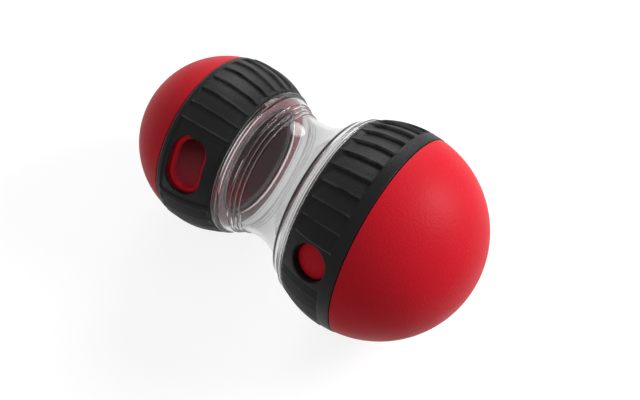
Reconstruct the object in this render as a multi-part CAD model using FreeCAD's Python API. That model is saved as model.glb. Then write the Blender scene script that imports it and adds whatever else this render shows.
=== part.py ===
"""Rolling treat dispenser: two unequal red balls with ribbed black rings, joined by a clear barrel.

The long axis runs through both ball centres.  Every piece is first built in the frame of its
own ball end, then moved to the axis frame (+X towards the big ball, waist of the barrel at
x = 0), and is last laid on the floor, where the axis leans by the difference between the two
balls.  All lengths are millimetres, all angles degrees.  Angles round the axis are counted
from the top towards the front (-Y).
"""
import FreeCAD, Part
import math
import os
from FreeCAD import Vector

# ---------------------------------------------------------------- driving dimensions
BIG_BALL_R = 47.5          # outer radius of the big red ball
SMALL_BALL_R = 40.2        # outer radius of the small red ball
BIG_REACH = 47.0           # from the waist of the barrel to the big ball's centre
SMALL_REACH = 36.1         # from the waist to the small ball's centre

BIG_RING_W = 27.1          # width of the ribbed ring along the axis
SMALL_RING_W = 27.2
BIG_OVERHANG = 6.1         # how far the ring reaches past the ball's equator
SMALL_OVERHANG = 8.8

BIG_RIB_COUNT = 36         # ribs round a full circle, before the pad takes its share
SMALL_RIB_COUNT = 32
BIG_FLOOR_TIPS = 2         # rib tips that the big ring stands on
SMALL_FLOOR_TIPS = 1
TIP_PROUD = 0.5            # rib tips above the ball's surface
BAND_PROUD = 0.2           # smooth border bands above the ball's surface

BIG_TREAD_T = 2.6          # rubber below the ball's surface
SMALL_TREAD_T = 1.9
BIG_POCKET_D = 1.8         # pocket between two ribs, below the tips
SMALL_POCKET_D = 1.2
BIG_DOME_BAND = 5.6        # smooth band beside the dome
SMALL_DOME_BAND = 2.9
BIG_NECK_BAND = 2.2        # smooth band beside the barrel
SMALL_NECK_BAND = 1.2
BIG_PAD_MARGIN = 1.5       # smooth pad above and below the port
SMALL_PAD_MARGIN = 3.2
BIG_PAD_DROP = 0.3         # pad below the rib tips
SMALL_PAD_DROP = 1.1

BIG_COLLAR_T = 1.6         # wall of the stiff collar under the rubber
SMALL_COLLAR_T = 1.2
WEB_T = 1.9                # collar's end wall beside the barrel
SOCKET_T = 1.5             # wall of the collar's socket tube
SOCKET_L = 4.1             # socket tube, from the ring's face

BIG_SLEEVE_T = 2.4         # wall of the turning sleeve
SMALL_SLEEVE_T = 2.2
DOME_T = 2.6               # wall of the ball's dome
BOND_L = 3.0               # lap of the sleeve inside the dome

WAIST_R = 29.0             # outer radius of the barrel's waist
BARREL_T = 2.4
BIG_SHOULDER_R = 38.2      # where the waist curve ends
BIG_SHOULDER_X = 18.9
SMALL_SHOULDER_R = 31.9
SMALL_SHOULDER_X = 10.7
SHOULDER_STEP = 0.7        # step up from the waist curve to the shoulder band
RIM_W = 2.0                # rim that meets the ring's face
RIM_STEP = 1.1             # step up from the shoulder band to the rim
RIM_INSET = 0.5            # rim below the ring's own edge
BIG_NECK_R = 34.1          # neck that plugs into the socket tube
SMALL_NECK_R = 27.8
NECK_T = 2.0
BEAD_H = 0.5               # fine beads round the barrel beside the small ring
BEAD_W = 0.9
BEAD_PITCH = 2.1
BEAD_COUNT = 3

BIG_PORT_R = 8.3           # round hole in the big ring
BIG_PORT_BACK = 7.7        # port's centre, from the ball's equator towards the barrel
BIG_PORT_ANGLE = 56.4      # port's centre, from the top towards the front
SMALL_PORT_W = 16.7        # oval hole in the small ring, along the axis
SMALL_PORT_L = 27.1        # and round the ring
SMALL_PORT_BACK = 4.2
SMALL_PORT_ANGLE = 50.4
BIG_OUTLET_INSET = 0.6     # edge of the sleeve's outlet inside the edge of the ring's hole
SMALL_OUTLET_INSET = 1.4
PORT_EDGE_R = 0.4          # rounded edge of the holes in the rubber
OUTLET_EDGE_R = 1.6        # rounded edge of the sleeve's oval outlet
BIG_TURN = 40.0            # from shut to open

BUTTON_R = 7.85            # push button in the round hole
BUTTON_TRAVEL = 2.6
BUTTON_WALL = 1.4
BUTTON_EDGE_R = 0.5
FLANGE_W = 1.05            # flange beyond the button's side
FLANGE_T = 1.2
CUP_T = 1.1                # wall of the housing behind the button
CUP_SPARE = 1.6            # room left under the pressed button
SPRING_WIRE_R = 0.4
SPRING_R = 4.6
SPRING_HALF_TURNS = 9

SEAL_W = 1.6               # seal ring in the neck's groove
SEAL_D = 1.0
DRAG_W = 2.0               # drag ring that holds the sleeve where it is turned to
DRAG_D = 1.0
DRAG_BACK = 3.6            # drag ring, from the ring's edge back towards the barrel

# ---------------------------------------------------------------- clearances
RUN_GAP = 0.3              # between bodies that move past each other
FACE_GAP = 0.3             # between the barrel's rim and the ring's face
SOCKET_FIT = 0.1           # radial, neck in socket
SEAL_FIT = 0.05            # radial, seal ring in socket
DRAG_FIT = 0.1             # radial, drag ring in collar
BOND_FIT = 0.03            # glue line between pieces that are bonded
TOOL_SPARE = 1.0           # cutters reach this far past what they cut
LEVEL = 0.01               # an edge that rises less than this lies level

LEAN_ROUNDS = 8            # the lean is worked out again from itself this many times

ORIGIN = Vector(0, 0, 0)
X_AXIS = Vector(1, 0, 0)
Y_AXIS = Vector(0, 1, 0)
Z_AXIS = Vector(0, 0, 1)


# ---------------------------------------------------------------- how it lies on the floor
def rib_pitch(side):
    """Angle from one rib to the next, on the big end (+1) or the small end (-1)."""
    return 360.0 / (BIG_RIB_COUNT if side > 0 else SMALL_RIB_COUNT)


def floor_angle(side):
    """Angle from the bottom to the rib tips that the ring stands on."""
    tips = BIG_FLOOR_TIPS if side > 0 else SMALL_FLOOR_TIPS
    return 0.5 * (tips - 1) * rib_pitch(side)


def centre_height(side, lean):
    """Height of a ball's centre above the floor when the axis leans."""
    tip_r = (BIG_BALL_R if side > 0 else SMALL_BALL_R) + TIP_PROUD
    aside = math.cos(math.radians(lean)) * math.sin(math.radians(floor_angle(side)))
    return tip_r * math.sqrt(1.0 - aside * aside)


def lean_angle():
    """Lean of the long axis when both rings stand on their rib tips."""
    lean = 0.0
    for _ in range(LEAN_ROUNDS):
        rise = centre_height(1, lean) - centre_height(-1, lean)
        lean = math.degrees(math.asin(rise / (BIG_REACH + SMALL_REACH)))
    return lean


def laid_down(shape):
    """From the axis frame to the part's frame: floor at z = 0, middle of the length at x = 0."""
    lean = math.radians(lean_angle())
    big_x = BIG_REACH * math.cos(lean)
    big_end = big_x + BIG_BALL_R
    small_end = -SMALL_REACH * math.cos(lean) - SMALL_BALL_R
    lift = centre_height(1, lean_angle()) - BIG_REACH * math.sin(lean)
    moved = shape.copy()
    moved.rotate(ORIGIN, Y_AXIS, -lean_angle())
    moved.translate(Vector(-0.5 * (big_end + small_end), 0, lift))
    return moved


# ---------------------------------------------------------------- shape helpers
def on_ball(radius, x):
    """Distance from the axis of a point on a ball whose centre is at x = 0."""
    return math.sqrt(radius * radius - x * x)


class Outline:
    """Closed half section in the X-Z plane, turned round the X axis."""

    def __init__(self, x, r):
        self.first = Vector(x, 0, r)
        self.last = self.first
        self.edges = []

    def line(self, x, r):
        point = Vector(x, 0, r)
        if point.distanceToPoint(self.last) > 1e-6:
            self.edges.append(Part.makeLine(self.last, point))
            self.last = point
        return self

    def arc(self, middle_x, middle_r, x, r):
        point = Vector(x, 0, r)
        middle = Vector(middle_x, 0, middle_r)
        self.edges.append(Part.Arc(self.last, middle, point).toShape())
        self.last = point
        return self

    def ball_arc(self, radius, x):
        """Arc along a ball centred at x = 0, from the last point to x."""
        # halfway round, not halfway along: the last point may be the pole itself
        start = math.atan2(self.last.z, self.last.x)
        half = 0.5 * (start + math.acos(x / radius))
        return self.arc(radius * math.cos(half), radius * math.sin(half), x, on_ball(radius, x))

    def turned(self, degrees=360.0):
        edges = self.edges
        if self.last.distanceToPoint(self.first) > 1e-6:
            edges = edges + [Part.makeLine(self.last, self.first)]
        return Part.Face(Part.Wire(edges)).revolve(ORIGIN, X_AXIS, degrees)


def band(x_low, x_high, r_low, r_high, degrees=360.0):
    """Plain ring, or a sector of one that runs from the top towards the front."""
    outline = Outline(x_low, r_low)
    outline.line(x_high, r_low)
    outline.line(x_high, r_high)
    outline.line(x_low, r_high)
    return outline.turned(degrees)


def stadium_prism(width, length, low, high):
    """Upright prism with round ends, long along Y."""
    half = width / 2.0
    straight = length / 2.0 - half
    left_low = Vector(-half, -straight, low)
    left_high = Vector(-half, straight, low)
    right_high = Vector(half, straight, low)
    right_low = Vector(half, -straight, low)
    edges = [
        Part.makeLine(left_low, left_high),
        Part.Arc(left_high, Vector(0, length / 2.0, low), right_high).toShape(),
        Part.makeLine(right_high, right_low),
        Part.Arc(right_low, Vector(0, -length / 2.0, low), left_low).toShape(),
    ]
    return Part.Face(Part.Wire(edges)).extrude(Vector(0, 0, high - low))


def rounded_hole(shape, axis, reach, skin_r, radius):
    """Rounds the edge that a hole along an axis leaves in a ball-shaped skin."""
    edges = []
    for edge in shape.Edges:
        points = edge.discretize(6)
        beside = all(point.cross(axis).Length < reach for point in points)
        ahead = all(point.dot(axis) > 0 for point in points)
        on_skin = all(abs(point.Length - skin_r) < RUN_GAP for point in points)
        if beside and ahead and on_skin:
            edges.append(edge)
    return shape.makeFillet(radius, edges)


# ---------------------------------------------------------------- one ball end
class End:
    """Sizes and pieces of one ball end; +X points out of the toy, the ball's centre is the origin.

    side is +1 for the big end and -1 for the small end, which is turned round Z when placed, so
    its front is +Y here.
    """

    def __init__(self, side):
        big = side > 0
        self.side = side
        self.reach = BIG_REACH if big else SMALL_REACH
        self.ball_r = BIG_BALL_R if big else SMALL_BALL_R
        self.pocket_d = BIG_POCKET_D if big else SMALL_POCKET_D
        self.edge_x = BIG_OVERHANG if big else SMALL_OVERHANG
        self.face_x = self.edge_x - (BIG_RING_W if big else SMALL_RING_W)
        self.rib_low = self.face_x + (BIG_NECK_BAND if big else SMALL_NECK_BAND)
        self.rib_high = self.edge_x - (BIG_DOME_BAND if big else SMALL_DOME_BAND)
        self.tip_r = self.ball_r + TIP_PROUD
        self.band_r = self.ball_r + BAND_PROUD
        self.pad_r = self.tip_r - (BIG_PAD_DROP if big else SMALL_PAD_DROP)
        self.collar_r = self.ball_r - (BIG_TREAD_T if big else SMALL_TREAD_T)
        self.bore_r = self.collar_r - (BIG_COLLAR_T if big else SMALL_COLLAR_T)
        self.sleeve_r = self.bore_r - RUN_GAP
        self.sleeve_in_r = self.sleeve_r - (BIG_SLEEVE_T if big else SMALL_SLEEVE_T)
        self.dome_in_r = self.ball_r - DOME_T
        self.web_x = self.face_x + WEB_T
        self.socket_r = (BIG_NECK_R if big else SMALL_NECK_R) + SOCKET_FIT
        self.socket_out_r = self.socket_r + SOCKET_T
        self.socket_x = self.face_x + SOCKET_L
        self.sleeve_low = self.socket_x + RUN_GAP
        self.sleeve_high = self.edge_x + RUN_GAP
        self.pitch = rib_pitch(side)
        self.port_angle = BIG_PORT_ANGLE if big else SMALL_PORT_ANGLE
        port_half = BIG_PORT_R if big else 0.5 * SMALL_PORT_L
        margin = BIG_PAD_MARGIN if big else SMALL_PAD_MARGIN
        self.pad_half = math.degrees((port_half + margin) / self.pad_r)
        port_back = BIG_PORT_BACK if big else SMALL_PORT_BACK
        self.port_tilt = math.degrees(math.asin(port_back / self.ball_r))
        self.cut_low = 0.5 * self.ball_r
        self.cut_high = self.tip_r + TOOL_SPARE

    def round_axis(self, shape, angle):
        """Turns a shape towards the front by an angle."""
        turned = shape.copy()
        turned.rotate(ORIGIN, X_AXIS, self.side * angle)
        return turned

    def sector(self, shape, first_angle):
        """Puts a sector, built from the top towards -Y, where it starts at an angle."""
        facing = shape if self.side > 0 else shape.mirror(ORIGIN, Y_AXIS)
        return self.round_axis(facing, first_angle)

    def at_port(self, shape, extra_angle=0.0):
        """Moves a shape built along +Z onto the port's axis, which meets the ball's centre."""
        tipped = shape.copy()
        tipped.rotate(ORIGIN, Y_AXIS, -self.port_tilt)
        return self.round_axis(tipped, self.port_angle + extra_angle)

    def port_axis(self, extra_angle=0.0):
        return self.at_port(Part.Vertex(0, 0, 1), extra_angle).Point

    def placed(self, shape):
        """From the end's own frame to the part's frame."""
        moved = shape.copy()
        if self.side < 0:
            moved.rotate(ORIGIN, Z_AXIS, 180.0)
        moved.translate(Vector(self.side * self.reach, 0, 0))
        return laid_down(moved)

    # black ring
    def tread_blank(self):
        outline = Outline(self.face_x, on_ball(self.collar_r, self.face_x))
        outline.line(self.face_x, on_ball(self.band_r, self.face_x))
        outline.ball_arc(self.band_r, self.rib_low)
        outline.line(self.rib_low, on_ball(self.tip_r, self.rib_low))
        outline.ball_arc(self.tip_r, self.rib_high)
        outline.line(self.rib_high, on_ball(self.band_r, self.rib_high))
        outline.ball_arc(self.band_r, self.edge_x)
        outline.line(self.edge_x, on_ball(self.collar_r, self.edge_x))
        outline.ball_arc(self.collar_r, self.face_x)
        return outline.turned()

    def rib_zone(self, degrees):
        """Sector of the ribbed zone, from inside the rubber to above its tips."""
        return band(self.rib_low, self.rib_high, self.cut_low, self.cut_high, degrees)

    def pocket(self):
        """Pocket from one rib tip to the next: a steep wall, then a floor that climbs back."""
        pitch = math.radians(self.pitch)
        shift = self.pocket_d / math.sin(pitch)
        # a larger ball, moved sideways, that still meets the next tip at full height
        floor = Part.makeSphere(math.hypot(self.tip_r, shift), ORIGIN, X_AXIS)
        floor.translate(Vector(0, -shift * math.cos(pitch), -shift * math.sin(pitch)))
        return self.rib_zone(self.pitch).cut(floor)

    def tread(self, hole, reach):
        """Rubber ring with its rib pockets, its smooth pad and its hole."""
        pad_zone = self.sector(self.rib_zone(2.0 * self.pad_half), self.port_angle - self.pad_half)
        pad_floor = Part.makeSphere(self.pad_r, ORIGIN, X_AXIS)
        cutters = [pad_zone.cut(pad_floor)]
        pocket = self.pocket()
        for count in range(round(360.0 / self.pitch)):
            tip = 180.0 + floor_angle(self.side) + count * self.pitch
            from_port = (tip + 0.5 * self.pitch - self.port_angle + 180.0) % 360.0 - 180.0
            past_pad = abs(from_port) - self.pad_half
            if past_pad > 0.5 * self.pitch:
                cutters.append(self.sector(pocket, tip))
            elif past_pad > -0.5 * self.pitch:
                cutters.append(self.sector(pocket, tip).cut(pad_zone))
        ring = self.tread_blank().cut(cutters).cut(self.at_port(hole))
        return rounded_hole(ring, self.port_axis(), reach, self.pad_r, PORT_EDGE_R)

    def collar(self):
        """Stiff ring under the rubber, with an end wall and the socket for the barrel's neck.

        Its bore is part of a ball that reaches past the equator, so the sleeve snaps into it.
        """
        outline = Outline(self.face_x, self.socket_r)
        outline.line(self.face_x, on_ball(self.collar_r, self.face_x))
        outline.ball_arc(self.collar_r, self.edge_x)
        outline.line(self.edge_x, on_ball(self.bore_r, self.edge_x))
        outline.ball_arc(self.bore_r, self.web_x)
        outline.line(self.web_x, self.socket_out_r)
        outline.line(self.socket_x, self.socket_out_r)
        outline.line(self.socket_x, self.socket_r)
        return outline.turned()

    # red shell
    def dome(self):
        outline = Outline(self.sleeve_high, on_ball(self.ball_r, self.sleeve_high))
        outline.ball_arc(self.ball_r, self.ball_r)
        outline.line(self.dome_in_r, 0.0)
        outline.ball_arc(self.dome_in_r, self.sleeve_high)
        return outline.turned()

    def sleeve(self):
        """Ball-shaped sleeve that turns in the collar, with a lap bonded inside the dome."""
        lap_x = self.sleeve_high + BOND_L
        lap_r = self.dome_in_r - BOND_FIT
        outline = Outline(self.sleeve_low, on_ball(self.sleeve_in_r, self.sleeve_low))
        outline.line(self.sleeve_low, on_ball(self.sleeve_r, self.sleeve_low))
        outline.ball_arc(self.sleeve_r, self.sleeve_high)
        outline.line(self.sleeve_high, on_ball(lap_r, self.sleeve_high))
        outline.ball_arc(lap_r, lap_x)
        outline.line(lap_x, on_ball(self.sleeve_in_r, lap_x))
        outline.ball_arc(self.sleeve_in_r, self.sleeve_low)
        return outline.turned().cut(self.drag_ring(TOOL_SPARE))

    def drag_ring(self, outward):
        """Ring in a groove of the sleeve that rubs on the collar's bore."""
        low = self.edge_x - DRAG_BACK
        high = low + DRAG_W
        outer_r = on_ball(self.bore_r, high) + outward
        return band(low, high, on_ball(self.sleeve_r, high) - DRAG_D, outer_r)


# ---------------------------------------------------------------- clear barrel
def shoulder(end, shoulder_x, shoulder_r):
    """Section points of one end of the barrel, from the waist curve round its end wall."""
    rim_x = end.reach + end.face_x - FACE_GAP
    rim_r = on_ball(end.band_r, end.face_x) - RIM_INSET
    seat_r = end.socket_r - SOCKET_FIT + BOND_FIT
    return [
        (shoulder_x, shoulder_r + SHOULDER_STEP),
        (rim_x - RIM_W, rim_r - RIM_STEP),
        (rim_x - RIM_W, rim_r),
        (rim_x, rim_r),
        (rim_x, seat_r),
        (rim_x - BARREL_T, seat_r),
    ]


class WaistCurve:
    """Arc of the barrel's wall, level at the waist, that ends at a shoulder."""

    def __init__(self, x, r):
        rise = r - WAIST_R
        self.centre_r = WAIST_R + (x * x + rise * rise) / (2.0 * rise)
        self.radius = self.centre_r - WAIST_R
        self.sweep = math.asin(x / self.radius)

    def point(self, share, depth=0.0):
        """Point part of the way to the shoulder, depth below the outer skin."""
        angle = self.sweep * share
        radius = self.radius + depth
        return radius * math.sin(angle), self.centre_r - radius * math.cos(angle)


def bead(side, curve, count):
    """One fine bead round the barrel, seated on the waist curve."""
    share = 1.0 - (count + 0.5) * BEAD_PITCH / (curve.radius * curve.sweep)
    x, r = curve.point(share)
    half = 0.5 * BEAD_W
    outline = Outline(side * (x - half), r - BEAD_H)
    outline.line(side * (x + half), r - BEAD_H)
    outline.line(side * (x + half), r + BEAD_H * half)
    outline.arc(side * x, r + BEAD_H, side * (x - half), r)
    return outline.turned()


def clear_barrel(big, small):
    big_curve = WaistCurve(BIG_SHOULDER_X, BIG_SHOULDER_R)
    small_curve = WaistCurve(SMALL_SHOULDER_X, SMALL_SHOULDER_R)
    outline = Outline(0.0, WAIST_R)
    outline.arc(*big_curve.point(0.5), *big_curve.point(1.0))
    for x, r in shoulder(big, BIG_SHOULDER_X, BIG_SHOULDER_R):
        outline.line(x, r)
    inner_x, inner_r = big_curve.point(1.0, BARREL_T)
    outline.line(big.reach + big.face_x - FACE_GAP - BARREL_T, inner_r)
    outline.line(inner_x, inner_r)
    outline.arc(*big_curve.point(0.5, BARREL_T), 0.0, WAIST_R - BARREL_T)
    middle_x, middle_r = small_curve.point(0.5, BARREL_T)
    inner_x, inner_r = small_curve.point(1.0, BARREL_T)
    outline.arc(-middle_x, middle_r, -inner_x, inner_r)
    outline.line(-(small.reach + small.face_x - FACE_GAP - BARREL_T), inner_r)
    for x, r in reversed(shoulder(small, SMALL_SHOULDER_X, SMALL_SHOULDER_R)):
        outline.line(-x, r)
    middle_x, middle_r = small_curve.point(0.5)
    end_x, end_r = small_curve.point(1.0)
    outline.line(-end_x, end_r)
    outline.arc(-middle_x, middle_r, 0.0, WAIST_R)
    barrel = outline.turned()
    for count in range(BEAD_COUNT):
        barrel = barrel.fuse(bead(-1, small_curve, count))
    return barrel


def neck_ring(end):
    """Short tube bonded in the barrel's end wall, which plugs into the collar's socket."""
    neck_r = end.socket_r - SOCKET_FIT
    inside = end.reach + end.face_x - FACE_GAP - BARREL_T
    low, high = sorted((end.side * inside, end.side * (end.reach + end.socket_x)))
    return band(low, high, neck_r - NECK_T, neck_r).cut(seal_ring(end, TOOL_SPARE))


def seal_ring(end, outward):
    """Seal ring in the neck, in the axis frame; outward is how far it stands above the neck."""
    neck_r = end.socket_r - SOCKET_FIT
    middle = end.reach + 0.5 * (end.face_x + end.socket_x)
    low, high = sorted((end.side * (middle - 0.5 * SEAL_W), end.side * (middle + 0.5 * SEAL_W)))
    return band(low, high, neck_r - SEAL_D, neck_r + outward)


# ---------------------------------------------------------------- big end: shutter and push button
class Button:
    """Heights of the push button's parts along the port's axis, from the ball's centre."""

    def __init__(self, end):
        self.top = end.collar_r - RUN_GAP
        self.flange_r = BUTTON_R + FLANGE_W
        self.flange_top = on_ball(end.sleeve_in_r, self.flange_r) - RUN_GAP
        self.foot = self.flange_top - FLANGE_T
        self.roof = self.top - BUTTON_WALL
        self.cup_r = self.flange_r + RUN_GAP
        self.cup_floor = self.foot - BUTTON_TRAVEL - CUP_SPARE


def cylinder(radius, low, high):
    return Part.makeCylinder(radius, high - low, Vector(0, 0, low))


def lock_button(end, heights):
    body = cylinder(BUTTON_R, heights.foot, heights.top)
    body = body.common(Part.makeSphere(heights.top, ORIGIN, X_AXIS))
    upper = [edge for edge in body.Edges if edge.BoundBox.ZMin > heights.roof - BUTTON_WALL]
    rim = [edge for edge in upper if edge.BoundBox.ZLength < LEVEL]
    body = body.makeFillet(BUTTON_EDGE_R, rim)
    body = body.fuse(cylinder(heights.flange_r, heights.foot, heights.flange_top)).removeSplitter()
    hollow = cylinder(BUTTON_R - BUTTON_WALL, heights.foot - TOOL_SPARE, heights.roof)
    return end.at_port(body.cut(hollow))


def button_cup(end, heights):
    shell = cylinder(heights.cup_r + CUP_T, heights.cup_floor - CUP_T, heights.top)
    shell = shell.cut(cylinder(heights.cup_r, heights.cup_floor, heights.top + TOOL_SPARE))
    return end.at_port(shell.common(Part.makeSphere(end.sleeve_in_r, ORIGIN, X_AXIS)))


def button_spring(end, heights):
    """Coil of half turns, each a flat arc tipped so that it climbs half the pitch."""
    low = heights.cup_floor + SPRING_WIRE_R
    rise = (heights.roof - SPRING_WIRE_R - low) / SPRING_HALF_TURNS
    tip = math.degrees(math.atan2(0.5 * rise, SPRING_R))
    arc_r = math.hypot(SPRING_R, 0.5 * rise)
    turns = []
    for count in range(SPRING_HALF_TURNS):
        turn = Part.makeTorus(arc_r, SPRING_WIRE_R, ORIGIN, Z_AXIS, -180, 180, 180)
        turn.rotate(ORIGIN, Y_AXIS, tip)
        turn.rotate(ORIGIN, Z_AXIS, 180.0 * count)
        turn.translate(Vector(0, 0, low + (count + 0.5) * rise))
        turns.append(turn)
    return end.at_port(turns[0].fuse(turns[1:]))


def button_window(end):
    """Slot in the big collar: the button's head travels in it while the sleeve turns."""
    low, high = end.cut_low, end.cut_high
    stop = cylinder(BIG_PORT_R, low, high)
    corners = [(-BIG_PORT_R, low), (BIG_PORT_R, low), (BIG_PORT_R, high), (-BIG_PORT_R, high)]
    section = Part.makePolygon([Vector(x, 0, z) for x, z in corners + corners[:1]])
    slot = end.at_port(Part.Face(section)).revolve(ORIGIN, X_AXIS, end.side * BIG_TURN)
    return [end.at_port(stop), slot, end.at_port(stop, BIG_TURN)]


def build_big_end(end):
    heights = Button(end)
    hole = cylinder(BIG_PORT_R, end.cut_low, end.cut_high)
    button_hole = cylinder(BUTTON_R + RUN_GAP, end.cut_low, end.cut_high)
    outlet = cylinder(BIG_PORT_R - BIG_OUTLET_INSET, end.cut_low, end.cut_high)
    sleeve = end.sleeve().cut([end.at_port(button_hole), end.at_port(outlet, -BIG_TURN)])
    return {
        "big_tread": end.tread(hole, BIG_PORT_R + TOOL_SPARE),
        "big_collar": end.collar().cut(button_window(end)),
        "big_dome": end.dome(),
        "big_shutter_sleeve": sleeve,
        "big_drag_ring": end.drag_ring(-DRAG_FIT),
        "lock_button": lock_button(end, heights),
        "button_spring": button_spring(end, heights),
        "button_cup": button_cup(end, heights),
    }


# ---------------------------------------------------------------- small end: oval outlet
def build_small_end(end):
    hole = stadium_prism(SMALL_PORT_W, SMALL_PORT_L, end.cut_low, end.cut_high)
    inset = 2.0 * SMALL_OUTLET_INSET
    outlet = stadium_prism(SMALL_PORT_W - inset, SMALL_PORT_L - inset, end.cut_low, end.cut_high)
    reach = 0.5 * SMALL_PORT_L + TOOL_SPARE
    sleeve = end.sleeve().cut(end.at_port(outlet))
    return {
        "small_tread": end.tread(hole, reach),
        "small_collar": end.collar().cut(end.at_port(hole)),
        "small_dome": end.dome(),
        "small_shutter_sleeve": rounded_hole(sleeve, end.port_axis(), reach, end.sleeve_r,
                                             OUTLET_EDGE_R),
        "small_drag_ring": end.drag_ring(-DRAG_FIT),
    }


# ---------------------------------------------------------------- assembly
def build():
    big = End(1)
    small = End(-1)
    pieces = {
        "clear_barrel": laid_down(clear_barrel(big, small)),
        "big_neck_ring": laid_down(neck_ring(big)),
        "small_neck_ring": laid_down(neck_ring(small)),
        "big_neck_seal": laid_down(seal_ring(big, SEAL_FIT)),
        "small_neck_seal": laid_down(seal_ring(small, SEAL_FIT)),
    }
    for end, made in ((big, build_big_end(big)), (small, build_small_end(small))):
        for name, shape in made.items():
            pieces[name] = end.placed(shape)
    return pieces


def main():
    os.makedirs("parts", exist_ok=True)
    for name, shape in build().items():
        solids = shape.Solids
        print(name, len(solids), shape.isValid(), round(shape.Volume, 1))
        shape.exportStep("parts/" + name + ".step")


main()
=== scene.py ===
"""Looks of the rolling treat dispenser: skins, materials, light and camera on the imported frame.

Lengths are millimetres, and MM turns them into metres. The floor, the lamps and the camera's clip
distances are given in metres, and their comments say so.
"""

import math
from itertools import accumulate

import bmesh
import bpy
import numpy as np
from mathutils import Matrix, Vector

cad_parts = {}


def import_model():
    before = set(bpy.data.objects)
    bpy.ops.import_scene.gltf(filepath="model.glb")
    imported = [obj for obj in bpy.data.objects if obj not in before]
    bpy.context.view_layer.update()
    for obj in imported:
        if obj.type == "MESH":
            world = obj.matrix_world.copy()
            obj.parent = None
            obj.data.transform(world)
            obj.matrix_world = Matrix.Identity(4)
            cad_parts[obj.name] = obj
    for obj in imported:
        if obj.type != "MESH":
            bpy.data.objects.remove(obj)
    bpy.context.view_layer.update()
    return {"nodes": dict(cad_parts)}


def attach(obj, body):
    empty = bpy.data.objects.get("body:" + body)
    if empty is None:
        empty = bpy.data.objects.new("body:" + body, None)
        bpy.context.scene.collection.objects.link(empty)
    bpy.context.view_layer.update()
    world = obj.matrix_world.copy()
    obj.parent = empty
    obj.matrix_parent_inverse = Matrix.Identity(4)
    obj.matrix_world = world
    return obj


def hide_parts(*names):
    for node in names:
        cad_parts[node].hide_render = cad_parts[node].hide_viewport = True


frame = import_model()

MM = 0.001
MM_PER_METRE = 1000.0
FULL_TURN = 2.0 * math.pi

# ---------------------------------------------------------------- where the two ends are
LEAN = math.radians(4.9142155)                              # of the long axis, from the floor
WAIST = Vector((-9.0800, 0.0, 43.7925))                     # middle of the barrel's waist
ALONG = Vector((math.cos(LEAN), 0.0, math.sin(LEAN)))       # towards the big ball
UPRIGHT = Vector((-math.sin(LEAN), 0.0, math.cos(LEAN)))


class End:
    """Sizes of one ball end. x runs out of the toy from the ball's centre.

    side                    1 for the big ball's end, -1 for the small one's
    ribs, floor_tips        ribs to the circle, and how many of them touch the floor
    reach                   from the waist to the ball's centre
    ball_r, dome_in_r       the dome's outer and inner radius
    dome_x                  the dome's edge beside the ring
    face_x, edge_x          the ring's face beside the barrel and its edge beside the dome
    tip_r, band_r, pad_r    the ring's outer radius at the rib tips, the bands and the smooth pad
    inner_r                 the ring's inner radius
    rib_low, rib_high       where the pockets between the ribs start and end
    ramp, pocket_d          length of a pocket's ramp beside the barrel, and a pocket's depth
    pad_half                half of the angle that the smooth pad takes up
    port_angle, port_back   angle of the hole's middle, and how far it lies towards the barrel
    port_w, port_l          the hole's width along the axis and its length round the axis
    edge_highlight          strength of the painted highlight along the ring's edge beside the dome, from 0 to 1
    """

    def __init__(self, side, ribs=0, floor_tips=1, **sizes):
        self.side = side
        self.ribs = ribs
        self.pitch = FULL_TURN / max(ribs, 1)
        self.first_tip = math.pi + 0.5 * (floor_tips - 1) * self.pitch
        self.__dict__.update(sizes)

    def point(self, x, r, angle):
        """Points in the part's frame, in metres. Angles run from the top towards the front."""
        along = self.side * (self.reach + np.asarray(x, float))
        y = -np.asarray(r, float) * np.sin(angle)
        up = np.asarray(r, float) * np.cos(angle)
        parts = [
            WAIST[i] + along * ALONG[i] + (y if i == 1 else 0.0) + up * UPRIGHT[i]
            for i in range(3)
        ]
        return np.stack(np.broadcast_arrays(*parts), axis=-1) * MM

    def laid(self, rows):
        """The same from rows of (x, front, up)."""
        x, front, up = rows[:, 0], rows[:, 1], rows[:, 2]
        return self.point(x, np.hypot(front, up), np.arctan2(front, up))


BIG = End(
    1, ribs=36, floor_tips=2, reach=47.0, ball_r=47.5, tip_r=48.0, band_r=47.7, pad_r=47.7,
    inner_r=44.9, face_x=-21.0, edge_x=6.1, rib_low=-19.6, rib_high=0.5, ramp=5.4,
    pocket_d=1.8, pad_half=math.radians(11.77), port_angle=math.radians(56.4), port_back=7.7,
    port_w=16.6, port_l=16.6, dome_x=6.27, dome_in_r=44.9, edge_highlight=0.0,
)
SMALL = End(
    -1, ribs=32, floor_tips=1, reach=36.1, ball_r=40.2, tip_r=40.7, band_r=40.4, pad_r=39.6,
    inner_r=38.3, face_x=-18.4, edge_x=8.8, rib_low=-17.7, rib_high=5.9, ramp=2.4,
    pocket_d=1.3, pad_half=math.radians(24.235), port_angle=math.radians(50.4), port_back=4.2,
    port_w=16.7, port_l=27.1, dome_x=9.1, dome_in_r=37.6, edge_highlight=0.6,
)


def from_port(end, angle):
    """Angle from the hole's middle, from minus half a turn to half a turn."""
    return np.mod(angle - end.port_angle + math.pi, FULL_TURN) - math.pi


def port_axes(end):
    """The hole's own axes, outwards, across and around, in the end's (x, front, up) frame."""
    tilt = math.asin(end.port_back / end.ball_r)
    s, c = math.sin(end.port_angle), math.cos(end.port_angle)
    normal = np.array([-math.sin(tilt), math.cos(tilt) * s, math.cos(tilt) * c])
    across = np.array([math.cos(tilt), math.sin(tilt) * s, math.sin(tilt) * c])
    return normal, across, np.cross(normal, across)


# ---------------------------------------------------------------- mesh helpers
SHARP_DEGREES = 40.0            # faces that meet at more than this are shaded with an edge


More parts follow.
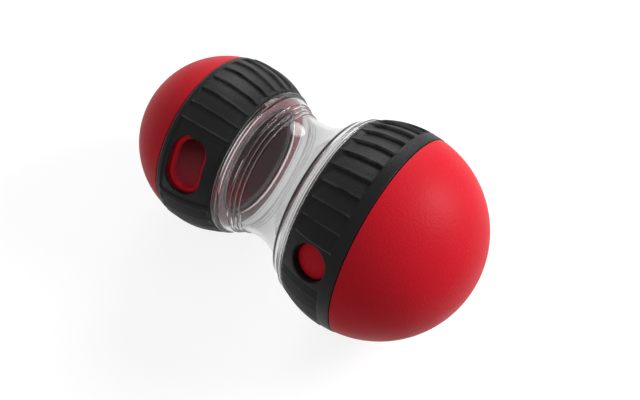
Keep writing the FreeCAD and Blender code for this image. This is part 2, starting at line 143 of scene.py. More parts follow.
def mesh_object(name, points, faces, sharp_degrees=SHARP_DEGREES):
    mesh = bpy.data.meshes.new(name)
    mesh.from_pydata([tuple(p) for p in points], [], faces)
    mesh.validate()
    mesh.update()
    mesh.shade_smooth()
    mesh.set_sharp_from_angle(angle=math.radians(sharp_degrees))
    obj = bpy.data.objects.new(name, mesh)
    bpy.context.scene.collection.objects.link(obj)
    return obj


def vertex_rows(mesh):
    """The mesh's vertices as rows of x, y and z, in metres."""
    flat = np.zeros(len(mesh.vertices) * 3)
    mesh.vertices.foreach_get("co", flat)
    return flat.reshape(-1, 3)


def face_outwards(mesh):
    """Turns a closed mesh's faces so that its volume is positive."""
    places = vertex_rows(mesh)
    mesh.calc_loop_triangles()
    corners = np.zeros(len(mesh.loop_triangles) * 3, int)
    mesh.loop_triangles.foreach_get("vertices", corners)
    a, b, c = (places[corners.reshape(-1, 3)[:, i]] for i in range(3))
    if np.einsum("ij,ij->i", a, np.cross(b, c)).sum() < 0:
        mesh.flip_normals()


def close_up(obj):
    """Drops points that no face uses, and turns all faces of a closed mesh outwards."""
    work = bmesh.new()
    work.from_mesh(obj.data)
    loose = [v for v in work.verts if not v.link_faces]
    bmesh.ops.delete(work, geom=loose, context="VERTS")
    bmesh.ops.recalc_face_normals(work, faces=work.faces)
    work.to_mesh(obj.data)
    work.free()
    face_outwards(obj.data)


def numbered(start, rows, columns):
    """Vertex numbers of a grid whose points follow each other row by row."""
    return np.arange(start, start + rows * columns).reshape(rows, columns).tolist()


def strip(first, second, skipped=()):
    """Quads between two closed loops of vertex numbers, without those that are skipped."""
    count = len(first)
    return [
        (first[k], first[(k + 1) % count], second[(k + 1) % count], second[k])
        for k in range(count) if k not in skipped
    ]


def flipped(quads):
    return [quad[::-1] for quad in quads]


def even_angles(count):
    return np.arange(count) * (FULL_TURN / count)


def lathe(name, outline, end, segments):
    """Closed outline of (x, r) in an end's own frame, turned round the axis."""
    angles = even_angles(segments)
    points = np.concatenate([end.point(x, r, angles) for x, r in outline])
    loops = numbered(0, len(outline), segments)
    faces = []
    for i, loop in enumerate(loops):
        faces += strip(loop, loops[(i + 1) % len(loops)])
    obj = mesh_object(name, points, faces)
    face_outwards(obj.data)
    return obj


def round_bar(name, end, centre, out, lift, bar_r, sides, closed):
    """Bar of radius bar_r along a path. centre, out and lift are rows of (x, front, up).

    out and lift are unit lengths across the path. A path that isn't closed gets end faces.
    """
    points = []
    for k in range(sides):
        a = FULL_TURN * k / sides
        points.append(centre + bar_r * (math.cos(a) * out + math.sin(a) * lift))
    loops = numbered(0, sides, len(centre))
    faces = []
    for k, loop in enumerate(loops):
        quads = strip(loop, loops[(k + 1) % sides])
        faces += quads if closed else quads[:-1]
    if not closed:
        faces += [tuple(loop[i] for loop in loops) for i in (0, -1)]
    obj = mesh_object(name, end.laid(np.concatenate(points)), faces)
    close_up(obj)
    return obj


# ---------------------------------------------------------------- black ribbed rings
CREST_W, CREST_H = 0.5, 0.10    # half width and height of the bead along each crest
POCKET_SHARE = 1.15             # a pocket's lowest point under the bands, in pocket depths
CREST_HIGHLIGHT_W = 0.36                   # width of the painted highlight on a crest's sloping side
CREST_HIGHLIGHT_WALL_W = 0.3 * CREST_HIGHLIGHT_W      # and on its steep side
EDGE_HIGHLIGHT_INSET = 0.35               # from the ring's edge to the middle of its painted highlight
EDGE_R = 0.55                   # rounding of the ring's two outer edges
HOLE_R = 0.6                    # rounding of the hole's edge
RING_SHARP_DEGREES = 50.0

# Edges in the rubber are softened by a weighted average over this many steps to each side.
SOFT_STEPS, SOFT_STEP, SOFT_FALLOFF = 3, 0.125, 0.22

# The grid's rows and columns lie close together where the skin bends: at the ring's outer edges,
# at the step where the pockets end, and at the steep wall of each pocket.
EDGE_ROWS = np.array([0.0, 0.03, 0.09, 0.18, 0.3, 0.44, 0.6])
STEP_ROWS = np.array([-0.75, -0.5, -0.34, -0.2, -0.1, 0.0, 0.1, 0.2, 0.34, 0.5, 0.75])
WALL_COLUMNS = np.array([-0.55, -0.38, -0.26, -0.17, -0.08, 0.0, 0.08, 0.17, 0.26, 0.38, 0.55])
LEAST_ROW_GAP, LEAST_COLUMN_GAP = 0.025, 0.05

# The patch round the hole reaches this far past the hole, across it and around the axis.
PATCH_ACROSS, PATCH_AROUND = 0.9, 1.0
PATCH_SHARES = (0.66, 0.36)     # loops on the skin, as shares of the way from hole to border
ROUNDING_LOOPS = 6


def ring_height(end, x, angle):
    """Distance from the axis to the ring's outer skin, before anything is softened."""
    band = np.sqrt(end.band_r ** 2 - x * x)
    turn = np.mod(angle - end.first_tip, end.pitch)
    lean_in = end.pocket_d * np.sin(end.pitch - turn) / math.sin(end.pitch)
    floor = -lean_in + np.sqrt(lean_in ** 2 + end.tip_r ** 2 - x * x)
    # a pocket's floor sinks in a long ramp beside the barrel, and ends in a wall beside the dome
    share = np.clip((x - end.rib_low) / end.ramp, 0.0, 1.0)
    height = np.maximum(floor, band - POCKET_SHARE * end.pocket_d * share)
    # the bead along a crest has its full height from the middle of the ramp
    near_crest = np.minimum(turn, end.pitch - turn) * end.tip_r / CREST_W
    height = height + CREST_H * np.exp(-near_crest ** 2) * np.clip(2.0 * share, 0.0, 1.0)
    on_pad = (np.abs(from_port(end, angle)) < end.pad_half) & (x > end.rib_low)
    height = np.where(on_pad, np.sqrt(end.pad_r ** 2 - x * x), height)
    return np.where(x < end.rib_high, height, band)


def soft_height(end, x, angle):
    """ring_height averaged over a small disc, with the two outer edges rounded."""
    x, angle = np.broadcast_arrays(np.asarray(x, float), np.asarray(angle, float))
    total = np.zeros(x.shape)
    weights = 0.0
    for i in range(-SOFT_STEPS, SOFT_STEPS + 1):
        for j in range(-SOFT_STEPS, SOFT_STEPS + 1):
            weight = math.exp(-SOFT_FALLOFF * (i * i + j * j))
            beside = angle + j * SOFT_STEP / end.ball_r
            total += weight * ring_height(end, x + i * SOFT_STEP, beside)
            weights += weight
    height = total / weights
    for inside in (x - end.face_x, end.edge_x - x):
        near = np.clip(EDGE_R - inside, 0.0, EDGE_R)
        height = height - (EDGE_R - np.sqrt(EDGE_R ** 2 - near ** 2))
    return height


def ring_rows(end):
    """Places along the axis of the grid's rows."""
    ramp_gap, after_ramp, before_step, after_step = 0.3, 0.8, 1.4, 1.6
    sloped = np.arange(end.rib_low - ramp_gap, end.rib_low + end.ramp + ramp_gap, ramp_gap)
    plain = np.linspace(sloped[-1] + after_ramp, end.rib_high - before_step, 12)
    band = end.rib_high + after_step
    bands = [band, 0.5 * (band + end.edge_x - EDGE_ROWS[-1])]
    rows = np.concatenate([end.face_x + EDGE_ROWS, end.edge_x - EDGE_ROWS, sloped,
                           end.rib_high + STEP_ROWS, plain, bands])
    rows = np.unique(np.round(rows, 5))
    rows = rows[(rows >= end.face_x) & (rows <= end.edge_x)]
    keep = [rows[0]]
    for x in rows[1:]:
        if x - keep[-1] > LEAST_ROW_GAP:
            keep.append(x)
    keep[-1] = end.edge_x
    return np.array(keep)


def ring_columns(end):
    """Angles round the axis of the grid's columns, close together beside the pad as well."""
    wall = WALL_COLUMNS / end.ball_r
    plain = np.linspace(0.13, 0.87, 7) * end.pitch          # on the slopes between the walls
    tips = end.first_tip + np.arange(end.ribs) * end.pitch
    angles = [tip + np.concatenate([wall, plain]) for tip in tips]
    angles += [end.port_angle + side * end.pad_half + wall[2:-2] for side in (-1, 1)]
    columns = np.sort(np.mod(np.concatenate(angles), FULL_TURN))
    gaps = np.diff(columns, append=columns[0] + FULL_TURN)
    return columns[gaps > LEAST_COLUMN_GAP / end.ball_r]


def stadium_nearest(u, v, half_w, half_l):
    """Nearest point on a stadium's outline, long along v, to points outside it."""
    straight = half_l - half_w
    middle_v = np.clip(v, -straight, straight)
    du, dv = u, v - middle_v
    size = np.hypot(du, dv)
    return half_w * du / size, middle_v + half_w * dv / size


def over_port(end, u, v, inner=False, drop=0.0):
    """Rows of (x, front, up) on the ring's skin, over points (u, v) of the hole's own plane.

    drop is how far they lie below the outer skin. With inner they lie on the ring's inside.
    """
    normal, across, around = port_axes(end)
    flat = u[:, None] * across + v[:, None] * around
    height = np.sqrt(end.ball_r ** 2 - u * u - v * v)
    rounds = 4                  # each takes the skin's height where the last one ended
    for _ in range(rounds):
        x, front, up = (flat + height[:, None] * normal).T
        if inner:
            radius = end.inner_r
        else:
            radius = np.hypot(x, soft_height(end, x, np.arctan2(front, up))) - drop
        height = np.sqrt(radius ** 2 - u * u - v * v)
    return flat + height[:, None] * normal


def patch_border(end, rows, columns):
    """The patch that the hole lies in.

    Gives the grid places (row, column) once round it, and the rows and columns that it covers.
    """
    count = len(columns)
    off = from_port(end, columns)
    inside = np.where(np.abs(off) < (0.5 * end.port_l + PATCH_AROUND) / end.ball_r)[0]
    first, last = inside[np.argmin(off[inside])], inside[np.argmax(off[inside])]
    across = [int(first + k) % count for k in range((last - first) % count + 1)]
    half = 0.5 * end.port_w
    low = int(np.searchsorted(rows, -end.port_back - half - PATCH_ACROSS)) - 1
    high = int(np.searchsorted(rows, -end.port_back + half + PATCH_ACROSS))
    border = [(low, k) for k in across]
    border += [(i, across[-1]) for i in range(low + 1, high + 1)]
    border += [(high, k) for k in across[-2::-1]]
    border += [(i, across[0]) for i in range(high - 1, low, -1)]
    return border, range(low, high), set(across[:-1])


def hole_loops(end, x, angle):
    """Loops of points from the patch's border down through the hole to the ring's inside."""
    radius = soft_height(end, x, angle)
    places = np.stack([x, radius * np.sin(angle), radius * np.cos(angle)], axis=-1)
    _, across, around = port_axes(end)
    border_u, border_v = places @ across, places @ around
    hole_u, hole_v = stadium_nearest(border_u, border_v, 0.5 * end.port_w, 0.5 * end.port_l)
    gap = np.hypot(border_u - hole_u, border_v - hole_v)
    du, dv = (border_u - hole_u) / gap, (border_v - hole_v) / gap
    levels = [(HOLE_R + (gap - HOLE_R) * share, 0.0) for share in PATCH_SHARES]
    for a in np.linspace(0.0, 0.5 * math.pi, ROUNDING_LOOPS):
        levels.append((HOLE_R * (1.0 - math.sin(a)), HOLE_R * (1.0 - math.cos(a))))
    loops = [
        over_port(end, hole_u + du * away, hole_v + dv * away, drop=drop)
        for away, drop in levels
    ]
    return loops + [over_port(end, hole_u, hole_v, inner=True)]


def tread(name, end):
    """Closed rubber ring: a grid of the outer skin with a fitted patch round the hole."""
    rows, columns = ring_rows(end), ring_columns(end)
    grid_x, grid_a = np.meshgrid(rows, columns, indexing="ij")
    outer_r = soft_height(end, grid_x, grid_a)
    inner_r = np.sqrt(end.inner_r ** 2 - grid_x ** 2)
    points = [end.point(grid_x, r, grid_a).reshape(-1, 3) for r in (outer_r, inner_r)]
    outer = numbered(0, *grid_x.shape)
    inner = numbered(grid_x.size, *grid_x.shape)

    border, patch_rows, patch_columns = patch_border(end, rows, columns)
    outer_faces, inner_faces = [], []
    for i in range(len(rows) - 1):
        skipped = patch_columns if i in patch_rows else ()
        outer_faces += flipped(strip(outer[i], outer[i + 1], skipped))
        inner_faces += strip(inner[i], inner[i + 1], skipped)
    faces = outer_faces + inner_faces
    faces += strip(outer[0], inner[0]) + flipped(strip(outer[-1], inner[-1]))

    hole = hole_loops(end, rows[[i for i, _ in border]], columns[[k for _, k in border]])
    points += [end.laid(loop) for loop in hole]
    loops = [[outer[i][k] for i, k in border]]
    loops += numbered(2 * grid_x.size, len(hole), len(border))
    loops += [[inner[i][k] for i, k in border]]
    for above, below in zip(loops, loops[1:]):
        faces += strip(above, below)
    obj = mesh_object(name, np.concatenate(points), faces, RING_SHARP_DEGREES)
    close_up(obj)
    mark_painted_highlights(obj.data, end)
    return obj


def mark_painted_highlights(mesh, end):
    """Stores how strongly each point of a ring takes a painted highlight: the crests and the edge
    by the dome.
    """
    off = vertex_rows(mesh) / MM - np.array(WAIST)
    x = end.side * (off @ np.array(ALONG)) - end.reach
    up = off @ np.array(UPRIGHT)
    radius, angle = np.hypot(off[:, 1], up), np.arctan2(-off[:, 1], up)
    turn = np.mod(angle - end.first_tip, end.pitch)
    slope_side, wall_side = (end.pitch - turn) * radius / CREST_HIGHLIGHT_W, turn * radius / CREST_HIGHLIGHT_WALL_W
    crest = np.exp(-np.minimum(slope_side, wall_side) ** 2)
    # only along the ribs: not at the start of a ramp, past the pockets' end or on the pad
    on_ramp, past_end, beside_pad = 0.2 * end.ramp, 0.1, 0.01
    crest *= (x > end.rib_low + on_ramp) & (x < end.rib_high + past_end)
    crest *= np.abs(from_port(end, angle)) > end.pad_half - beside_pad
    edge = np.exp(-((x - end.edge_x + EDGE_HIGHLIGHT_INSET) / CREST_HIGHLIGHT_W) ** 2)
    # painted highlights: pale lines along the crests and the edge by the dome, in place of the
    # light these rounded edges catch
    painted_highlight = np.maximum(crest, end.edge_highlight * edge)
    mesh.attributes.new("painted_highlight", "FLOAT", "POINT").data.foreach_set("value", painted_highlight.astype(np.float32))


# ---------------------------------------------------------------- red domes and outlet lip
DOME_SEGMENTS = 256
# The dome's softened edge beside the ring: (along the axis, inwards) from its sharp corner.
DOME_EDGE = ((0.0, 0.5), (0.09, 0.22), (0.24, 0.06))
DOME_EDGE_LENGTH = 0.45         # from the corner to the ball's own curve


def ball_arc(radius, x_from, x_to, steps):
    start, stop = math.acos(x_from / radius), math.acos(min(x_to / radius, 1.0))
    angles = np.linspace(start, stop, steps)
    return [(radius * math.cos(a), max(radius * math.sin(a), 0.0)) for a in angles]


def dome(name, end):
    """Closed shell of a ball's end, with a softened edge beside the ring."""
    hair = 1e-9                 # the inner arc ends this far from the axis, along x
    outer = ball_arc(end.ball_r, end.dome_x, end.ball_r, steps=56)
    inner = ball_arc(end.dome_in_r, end.dome_in_r - hair, end.dome_x, steps=40)[::-1]
    corner = Vector(outer[0])
    soft = [(corner.x + along, corner.y - inwards) for along, inwards in DOME_EDGE]
    rest = [p for p in outer if p[0] > corner.x + DOME_EDGE_LENGTH]
    return shell_of_revolution(name, soft + rest, inner, end)


def shell_of_revolution(name, outer, inner, end):
    """Shell whose outer and inner sections both reach the axis at their far ends.

    The faces of the inner skin take the object's second material.
    """
    angles = even_angles(DOME_SEGMENTS)
    points, faces = [], []

    def skin(section):
        """Adds the points and faces of one skin and gives its open edge."""
        start = sum(len(p) for p in points)
        loops = numbered(start, len(section) - 1, DOME_SEGMENTS)
        points.extend(end.point(x, r, angles) for x, r in section[:-1])
        points.append(end.point(section[-1][0], 0.0, np.array([0.0])))
        for first, second in zip(loops, loops[1:]):
            faces.extend(strip(first, second))
        last = loops[-1]
        pole = last[-1] + 1
        faces.extend((here, there, pole) for here, there in zip(last, last[1:] + last[:1]))
        return loops[0]

    outer_edge = skin(outer)
    outer_faces = len(faces)
    inner_edge = skin(inner)
    side = [0] * outer_faces + [1] * (len(faces) - outer_faces) + [0] * DOME_SEGMENTS
    faces += strip(outer_edge, inner_edge)
    obj = mesh_object(name, np.concatenate(points), faces)
    obj.data.polygons.foreach_set("material_index", side)
    close_up(obj)
    return obj


def outlet_lip(name, end, half_w, half_l, bead_r, depth_r):
    """Fat rounded bead along the edge of the sleeve's oval outlet."""
    normal, across, around = port_axes(end)
    turn = even_angles(96)
    # an oval is a circle whose halves are moved apart, and the steps between them fill the gap
    steepness = 9.0
    stretch = np.sign(np.sin(turn)) * np.minimum(1.0, steepness * np.abs(np.sin(turn)))
    u = half_w * np.cos(turn)
    v = half_w * np.sin(turn) + (half_l - half_w) * stretch
    out = np.outer(np.cos(turn), across) + np.outer(np.sin(turn), around)
    depth = np.sqrt(depth_r ** 2 - u ** 2 - v ** 2)
    centre = np.outer(u, across) + np.outer(v, around) + np.outer(depth, normal)
    radial = centre / np.linalg.norm(centre, axis=1)[:, None]
    return round_bar(name, end, centre, out, radial, bead_r, sides=14, closed=True)


# ---------------------------------------------------------------- spring behind the push button
def coil(name, end, coil_r, wire_r, low, high, turns):
    """Wire wound round the port's axis, its middle between two heights from the ball's centre."""
    normal, across, around = port_axes(end)
    steps_per_turn = 28
    turn = np.linspace(0.0, turns, int(turns * steps_per_turn) + 1)
    out = np.outer(np.cos(FULL_TURN * turn), across) + np.outer(np.sin(FULL_TURN * turn), around)
    centre = coil_r * out + np.outer(low + (high - low) * turn / turns, normal)
    return round_bar(name, end, centre, out, normal, wire_r, sides=12, closed=False)


# ---------------------------------------------------------------- clear barrel
WAIST_R = 29.0
WALL = 1.7                      # thinner than the solid's, which would show wide white bands
SHOULDER_UP = 0.7               # from the waist curve up to the shoulder
RIM_T, RIM_UP = 2.0, 1.1        # the rim's thickness, and its height over the shoulder
NECK_T = 2.0                    # wall of the neck
BARREL_SEGMENTS = 288
BEADS, BEAD_H, BEAD_W, BEAD_PITCH = 3, 0.5, 0.9, 2.1
BEAD_ROWS = (-0.62, -0.5, -0.4, -0.25, -0.1, 0.1, 0.25, 0.4, 0.5, 0.62)     # in bead widths


def waist_arc(shoulder_x, shoulder_r, depth, steps):
    """Points of the waist curve from the middle to a shoulder, or a depth below it."""
    rise = shoulder_r - WAIST_R
    centre = WAIST_R + (shoulder_x ** 2 + rise ** 2) / (2.0 * rise)
    radius = centre - WAIST_R
    sweep = math.asin(shoulder_x / radius)
    return [
        ((radius + depth) * math.sin(sweep * n / steps),
         centre - (radius + depth) * math.cos(sweep * n / steps))
        for n in range(steps + 1)
    ]


def with_beads(skin):
    """Adds fine raised beads to the part of the waist curve beside the small ring."""
    lengths = [0.0, *accumulate(math.dist(a, b) for a, b in zip(skin, skin[1:]))]
    middles = [lengths[-1] - (n + 0.5) * BEAD_PITCH for n in range(BEADS)]
    extra = {middle + BEAD_W * share for middle in middles for share in BEAD_ROWS}
    beaded = []
    for station in sorted(extra.union(lengths)):
        x, r = (float(np.interp(station, lengths, [p[i] for p in skin])) for i in (0, 1))
        off = min(abs(station - middle) for middle in middles) / (0.5 * BEAD_W)
        beaded.append((x, r + BEAD_H * math.sqrt(max(1.0 - off ** 2, 0.0))))
    return beaded


def rounded(first, corners, last, steps=5):
    """Points of a run of (x, r, fillet radius) corners between two points, without the last."""
    run = [Vector(first)] + [Vector((x, r)) for x, r, _ in corners] + [Vector(last)]
    points = [tuple(run[0])]
    for before, here, after, (_, _, fillet) in zip(run, run[1:], run[2:], corners):
        before, after = before - here, after - here
        most = 0.45 * min(before.length, after.length)      # so that two fillets never meet
        reach = min(fillet / math.tan(before.angle(after) / 2.0), most)
        start = here + before.normalized() * reach
        stop = here + after.normalized() * reach
        for share in (step / steps for step in range(steps + 1)):
            place = start * (1 - share) ** 2 + here * (2 * share * (1 - share)) + stop * share ** 2
            points.append(tuple(place))
    return points


def half_section(shoulder_x, shoulder_r, rim_x, rim_r, neck_x, neck_r, end_t, beads=False):
    """Half of the wall's section: the skin from the waist outwards, and back along the inside."""
    skin = waist_arc(shoulder_x, shoulder_r, depth=0.0, steps=26)
    inside = waist_arc(shoulder_x, shoulder_r, depth=WALL, steps=22)
    if beads:
        skin = with_beads(skin)
    end_x, neck_in_r = rim_x - end_t, neck_r - NECK_T
    corners = [
        (shoulder_x, shoulder_r + SHOULDER_UP, 0.25), (rim_x - RIM_T, rim_r - RIM_UP, 0.2),
        (rim_x - RIM_T, rim_r, 0.35), (rim_x, rim_r, 0.3),
        (rim_x, neck_r, 0.2), (neck_x, neck_r, 0.4), (neck_x, neck_in_r, 0.4),
        (end_x, neck_in_r, 0.5), (end_x, rim_r - RIM_UP - WALL, 0.6),
    ]
    return skin[:-1] + rounded(skin[-1], corners, inside[-1]) + inside[::-1]


def barrel(name):
    """Clear hourglass wall with rounded steps, fine beads and both necks."""
    big = half_section(18.9, 38.2, rim_x=25.7, rim_r=42.329, neck_x=30.1, neck_r=34.1, end_t=1.7)
    small = half_section(10.7, 31.9, rim_x=17.4, rim_r=35.467, neck_x=21.8, neck_r=27.8,
                         end_t=1.6, beads=True)
    outline = big + [(-x, r) for x, r in small[-2:0:-1]]
    return lathe(name, outline, End(1, reach=0.0), BARREL_SEGMENTS)


# ---------------------------------------------------------------- materials
BROAD_RATIO = 14.0              # size of the broad patches against the grain
SHEEN_ROUGHNESS = 0.35


def set_sockets(made, sockets):
    for socket, value in sockets.items():
        made.inputs[socket].default_value = value


def node(tree, kind, sockets=None, **settings):
    made = tree.nodes.new(kind)
    for key, value in settings.items():
        setattr(made, key, value)
    set_sockets(made, sockets or {})
    return made


def new_material(name, sockets):
    """Material with constants on its main shader. Gives the material, its tree and the shader."""
    mat = bpy.data.materials.new(name)
    mat.use_nodes = True
    shader = mat.node_tree.nodes["Principled BSDF"]
    set_sockets(shader, sockets)
    return mat, mat.node_tree, shader


def noises(tree, *sockets):
    """Noise textures in the piece's own space, one for each set of constants."""
    place = node(tree, "ShaderNodeTexCoord")
    made = [node(tree, "ShaderNodeTexNoise", values) for values in sockets]
    for texture in made:
        tree.links.new(place.outputs["Object"], texture.inputs["Vector"])
    return made


def bumped(tree, shader, texture, strength, distance):
    bump = node(tree, "ShaderNodeBump", {"Strength": strength, "Distance": distance * MM})
    tree.links.new(texture.outputs["Fac"], bump.inputs["Height"])
    tree.links.new(bump.outputs["Normal"], shader.inputs["Normal"])


def uneven(tree, shader, texture, sockets):
    """Roughness that follows a texture, within the range given."""
    rough = node(tree, "ShaderNodeMapRange", sockets)
    tree.links.new(texture.outputs["Fac"], rough.inputs["Value"])
    tree.links.new(rough.outputs["Result"], shader.inputs["Roughness"])


def grey(level):
    return (level, level, level, 1.0)


def surface(name, colour, roughness, grain, bump, mottle=0.1, colour_shift=0.06,
            spec=0.5, sheen=0.0, metal=0.0, painted_highlight_grey=0.0):
    """Moulded surface: grain bump, uneven roughness and colour, and painted highlights on crests
    and edges.

    grain and bump are the grain's size and depth. mottle and colour_shift say how far roughness
    and colour vary, and painted_highlight_grey is the grey of the painted highlights.
    """
    mat, tree, shader = new_material(name, {"Metallic": metal, "Specular IOR Level": spec})
    link = tree.links.new
    if sheen:
        set_sockets(shader, {"Sheen Weight": sheen, "Sheen Roughness": SHEEN_ROUGHNESS})
    fine, broad = noises(
        tree,
        {"Scale": MM_PER_METRE / grain, "Detail": 3.0, "Roughness": 0.55},
        {"Scale": MM_PER_METRE / (grain * BROAD_RATIO), "Detail": 4.0},
    )
    bumped(tree, shader, fine, strength=1.0, distance=bump)
    uneven(tree, shader, broad, {"To Min": roughness - mottle, "To Max": roughness + mottle})
    dark = [c * (1.0 - colour_shift) for c in colour]
    light = [min(c * (1.0 + colour_shift), 1.0) for c in colour]
    tint = node(tree, "ShaderNodeMix", {"A": (*dark, 1.0), "B": (*light, 1.0)}, data_type="RGBA")
    link(broad.outputs["Fac"], tint.inputs["Factor"])
    result = tint.outputs["Result"]
    # painted highlight: the colour turns in patches towards a pale grey where the mesh's painted
    # highlight attribute is set
    if painted_highlight_grey:
        painted_highlight = node(tree, "ShaderNodeAttribute", attribute_name="painted_highlight")
        patchy = node(tree, "ShaderNodeMath", operation="MULTIPLY")
        patches = node(tree, "ShaderNodeMapRange", {"From Min": 0.3, "From Max": 0.6})
        lightened = node(tree, "ShaderNodeMix", {"B": grey(painted_highlight_grey)}, data_type="RGBA")
        link(broad.outputs["Fac"], patches.inputs["Value"])
        link(painted_highlight.outputs["Fac"], patchy.inputs[0])
        link(patches.outputs["Result"], patchy.inputs[1])
        link(patchy.outputs["Value"], lightened.inputs["Factor"])
        link(result, lightened.inputs["A"])
        result = lightened.outputs["Result"]
    link(result, shader.inputs["Base Color"])
    return mat


def clear_plastic(name):
    """Clear moulded plastic that lets lamps through."""
    mat, tree, shader = new_material(name, {
        "Base Color": (0.73, 0.735, 0.735, 1.0), "Transmission Weight": 1.0, "IOR": 1.3,
    })
    flow, scuff = noises(tree, {"Scale": 45.0, "Detail": 2.0}, {"Scale": 260.0, "Detail": 5.0})
    bumped(tree, shader, flow, strength=0.3, distance=0.12)
    uneven(tree, shader, scuff,
           {"From Min": 0.35, "From Max": 0.75, "To Min": 0.02, "To Max": 0.07})
    through = node(tree, "ShaderNodeBsdfTransparent", {"Color": (0.93, 0.935, 0.94, 1.0)})
    path = node(tree, "ShaderNodeLightPath")
    mix = node(tree, "ShaderNodeMixShader")
    tree.links.new(path.outputs["Is Shadow Ray"], mix.inputs["Fac"])
    tree.links.new(shader.outputs["BSDF"], mix.inputs[1])
    tree.links.new(through.outputs["BSDF"], mix.inputs[2])
    tree.links.new(mix.outputs["Shader"], tree.nodes["Material Output"].inputs["Surface"])
    return mat


RED = (0.65, 0.0085, 0.021)
# darker copies of the red for parts inside the balls and behind the clear barrel: painted shade
SHADED_RED = (0.17, 0.005, 0.012)
SHADED_COLLAR_RED = (0.30, 0.008, 0.020)
BLACK = (0.0085, 0.0088, 0.0090)
SEAL_GREY = (0.22, 0.22, 0.225)
STEEL = (0.55, 0.55, 0.56)
red = surface("red_shell", RED, roughness=0.5, grain=0.95, bump=0.15, spec=0.13)
shaded_red = surface("shaded_red", SHADED_RED, roughness=0.5, grain=0.9, bump=0.03, spec=0.1)
shaded_collar_red = surface("shaded_collar_red", SHADED_COLLAR_RED, roughness=0.5, grain=0.9, bump=0.03, spec=0.1)
# the rubber's crests and its edge by the dome take a painted highlight of pale grey
rubber = surface("black_rubber", BLACK, roughness=0.44, grain=0.7, bump=0.15, colour_shift=0.15,
                 spec=0.13, sheen=0.02, painted_highlight_grey=0.15)
grey_rubber = surface("grey_rubber", SEAL_GREY, roughness=0.6, grain=0.4, bump=0.02)
steel = surface("spring_steel", STEEL, roughness=0.3, grain=0.2, bump=0.004, metal=1.0)
clear = clear_plastic("clear_barrel_plastic")


# ---------------------------------------------------------------- pieces
def dressed(obj, mat):
    """Gives an object its material, and keeps the faces' places for a second one."""
    index = [face.material_index for face in obj.data.polygons]
    obj.data.materials.clear()
    obj.data.materials.append(mat)
    obj.data.polygons.foreach_set("material_index", index)
    return obj


def placed_piece(obj, mat, body, *nodes):
    dressed(obj, mat)
    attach(obj, body)
    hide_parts(*nodes)
    return obj


placed_piece(barrel("barrel_wall"), clear, "barrel",
             "clear_barrel", "big_neck_ring", "small_neck_ring")
placed_piece(tread("big_rubber_ring", BIG), rubber, "big_ring", "big_tread")
placed_piece(tread("small_rubber_ring", SMALL), rubber, "small_ring", "small_tread")
# each dome's inner skin takes the darker copy of the red: painted shade
for name, end, body, solid in (("big_red_dome", BIG, "big_shell", "big_dome"),
                               ("small_red_dome", SMALL, "small_shell", "small_dome")):
    placed_piece(dome(name, end), red, body, solid).data.materials.append(shaded_red)
lip = dressed(outlet_lip("outlet_lip", SMALL, half_w=7.3, half_l=12.5, bead_r=1.3, depth_r=35.6),
              red)
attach(lip, "small_shell")

# The spring is hidden at rest. It is wound as short as the pressed button leaves it, because it
# keeps one length in every pose and would come through the button at its full length.
spring = coil("pressed_spring", BIG, coil_r=4.6, wire_r=0.4, low=34.32, high=40.1, turns=4.5)
placed_piece(spring, steel, "big_shell", "button_spring")

# the collars, shutter sleeves and button cup take the darker copies of the red: painted shade
for name, mat in {
    "big_neck_seal": grey_rubber, "small_neck_seal": grey_rubber,
    "big_drag_ring": grey_rubber, "small_drag_ring": grey_rubber,
    "big_collar": shaded_collar_red, "small_collar": shaded_collar_red,
    "big_shutter_sleeve": shaded_red, "small_shutter_sleeve": shaded_red,
    "lock_button": red, "button_cup": shaded_red,
}.items():
    dressed(frame["nodes"][name], mat)


# ---------------------------------------------------------------- floor, light and camera
FLOOR_HALF = 3.0                # half of the floor's side, in metres
FLOOR_GREY, FLOOR_GLOW = 0.30, 0.84
WORLD_LIGHT, WORLD_SEEN = 0.32, 1.0         # the world's strength as light and as background
LAMP_AIM = (0.0, 0.0, 0.045)    # in metres


def seen_directly(tree):
    """1 for camera, glossy and transmission rays, and 0 for light that spreads."""
    path = node(tree, "ShaderNodeLightPath")
    total = path.outputs["Is Camera Ray"]
    for ray in ("Is Glossy Ray", "Is Transmission Ray"):
        larger = node(tree, "ShaderNodeMath", operation="MAXIMUM")
        tree.links.new(total, larger.inputs[0])
        tree.links.new(path.outputs[ray], larger.inputs[1])
        total = larger.outputs["Value"]
    return total


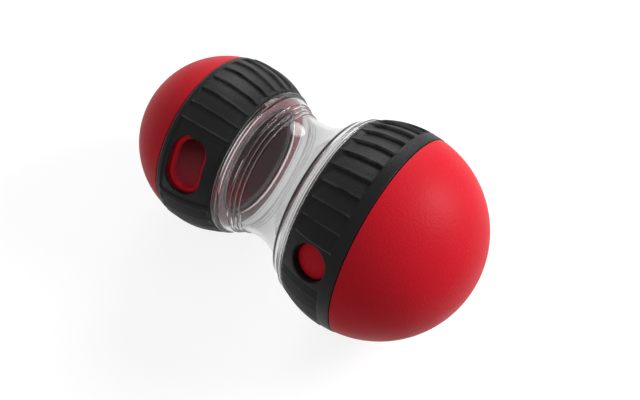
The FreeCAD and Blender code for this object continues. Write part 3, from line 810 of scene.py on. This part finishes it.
def floor():
    """Plain pale floor that shows white and keeps the object's shadow."""
    corners = [(-1, -1), (1, -1), (1, 1), (-1, 1)]
    points = [(FLOOR_HALF * x, FLOOR_HALF * y, 0.0) for x, y in corners]
    obj = mesh_object("floor", points, [(0, 1, 2, 3)])
    mat, tree, shader = new_material("floor", {
        "Base Color": grey(FLOOR_GREY), "Roughness": 0.9, "Specular IOR Level": 0.1,
    })
    glow = node(tree, "ShaderNodeEmission", {"Color": grey(1.0)})
    share = node(tree, "ShaderNodeMath", {1: FLOOR_GLOW}, operation="MULTIPLY")
    add = node(tree, "ShaderNodeAddShader")
    tree.links.new(seen_directly(tree), share.inputs[0])
    tree.links.new(share.outputs["Value"], glow.inputs["Strength"])
    tree.links.new(shader.outputs["BSDF"], add.inputs[0])
    tree.links.new(glow.outputs["Emission"], add.inputs[1])
    tree.links.new(add.outputs["Shader"], tree.nodes["Material Output"].inputs["Surface"])
    dressed(obj, mat)


def world():
    """White behind the object for the camera, and a softer white as light."""
    made = bpy.data.worlds.new("studio")
    bpy.context.scene.world = made
    made.use_nodes = True
    tree = made.node_tree
    back = tree.nodes["Background"]
    set_sockets(back, {"Color": grey(1.0)})
    level = node(tree, "ShaderNodeMapRange", {"To Min": WORLD_LIGHT, "To Max": WORLD_SEEN})
    tree.links.new(seen_directly(tree), level.inputs["Value"])
    tree.links.new(level.outputs["Result"], back.inputs["Strength"])


def aimed(name, data, place, looking):
    """Object at a place in metres, turned so that it looks in a direction."""
    obj = bpy.data.objects.new(name, data)
    obj.location = place
    obj.rotation_mode = "QUATERNION"
    obj.rotation_quaternion = looking.to_track_quat("-Z", "Y")
    bpy.context.scene.collection.objects.link(obj)
    return obj


def lamp(name, place, size, watts):
    """Round lamp. Its place and size are in metres."""
    data = bpy.data.lights.new(name, "AREA")
    data.shape = "DISK"
    data.size = size
    data.energy = watts
    aimed(name, data, place, Vector(LAMP_AIM) - Vector(place))


def camera(place, azimuth, elevation, lens):
    """Camera that looks against the direction given by two angles in degrees."""
    azimuth, elevation = math.radians(azimuth), math.radians(elevation)
    back = Vector((math.sin(azimuth) * math.cos(elevation),
                   -math.cos(azimuth) * math.cos(elevation), math.sin(elevation)))
    data = bpy.data.cameras.new("camera")
    data.sensor_width = 36.0
    data.lens = lens
    data.clip_start, data.clip_end = 0.01, 20.0         # in metres
    bpy.context.scene.camera = aimed("camera", data, Vector(place) * MM, -back)


floor()
world()
lamp("key", place=(0.50, 0.50, 0.50), size=0.36, watts=5.6)
lamp("fill", place=(-0.30, 0.74, 0.34), size=0.4, watts=2.8)
camera(place=(122.36, -165.29, 439.06), azimuth=34.9724, elevation=63.0610, lens=56.25)

bpy.context.scene.view_settings.view_transform = "Standard"
